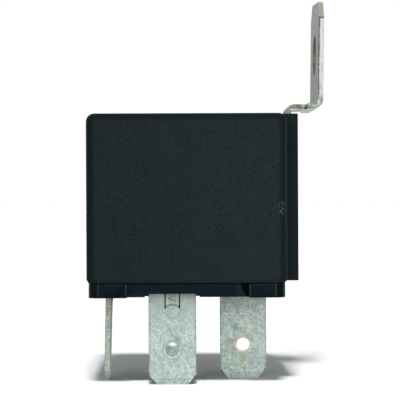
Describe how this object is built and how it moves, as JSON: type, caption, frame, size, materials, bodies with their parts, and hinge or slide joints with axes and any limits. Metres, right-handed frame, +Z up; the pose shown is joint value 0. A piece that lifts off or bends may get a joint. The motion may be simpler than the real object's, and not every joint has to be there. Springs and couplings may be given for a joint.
{
  "type": "plug-in relay",
  "caption": "Cube-shaped plug-in relay with flat blade terminals below, a cranked sheet-metal mounting bracket on one side, and a hinged armature and coil inside.",
  "frame": {"origin": "centre of the base's underside, the plane that seats on the socket", "axes": "+Z up out of the socket, with the blades pointing down -Z; +X towards the mounting bracket; -Y towards the front, the side of the blade marked as terminal 86 here"},
  "size_m": [0.0316, 0.0262, 0.0513],
  "materials": {
    "cover_plastic": "black glass-filled nylon with a fine matte texture",
    "base_plastic": "black glass-filled nylon, slightly smoother",
    "bracket_zinc": "zinc-plated sheet steel, satin",
    "blade_tin": "tin-plated strip, satin, mottled",
    "magnet_iron": "bright zinc-plated soft iron",
    "bobbin_nylon": "natural nylon",
    "winding_copper": "enamelled copper wire",
    "resistor_body": "lacquered film resistor",
    "lead_tin": "tinned copper wire",
    "contact_silver": "silver alloy contact rivet",
    "spring_bronze": "rolled spring bronze",
    "rivet_steel": "plated steel rivet"
  },
  "bodies": {
    "relay_body": {"cover": "cover_plastic", "base": "base_plastic", "mounting_bracket": "bracket_zinc", "terminal_30": "blade_tin", "terminal_85": "blade_tin", "terminal_86": "blade_tin", "terminal_87": "blade_tin", "yoke": "magnet_iron", "core": "magnet_iron", "bobbin": "bobbin_nylon", "coil_winding": "winding_copper", "coil_lead_85": "winding_copper", "coil_lead_86": "winding_copper", "suppression_resistor": "resistor_body", "resistor_lead_85": "lead_tin", "resistor_lead_86": "lead_tin", "fixed_contact": "contact_silver", "spring_rivet_front": "rivet_steel", "spring_rivet_rear": "rivet_steel", "terminal_rivet": "rivet_steel", "armature_stop": "bracket_zinc"},
    "armature": {"armature": "magnet_iron", "moving_contact": "contact_silver", "armature_rivet_front": "rivet_steel", "armature_rivet_rear": "rivet_steel", "contact_spring": "spring_bronze"}
  },
  "joints": [
    {"name": "armature_pivot", "type": "hinge", "parent": "relay_body", "child": "armature", "pos_m": [0.0094, 0, 0.01842], "axis": [0, -1, 0], "range_deg": [0, 3.5], "stiffness_Nm_per_rad": 0.04, "springref_deg": -6.88, "deforming": ["contact_spring"]}
  ]
}
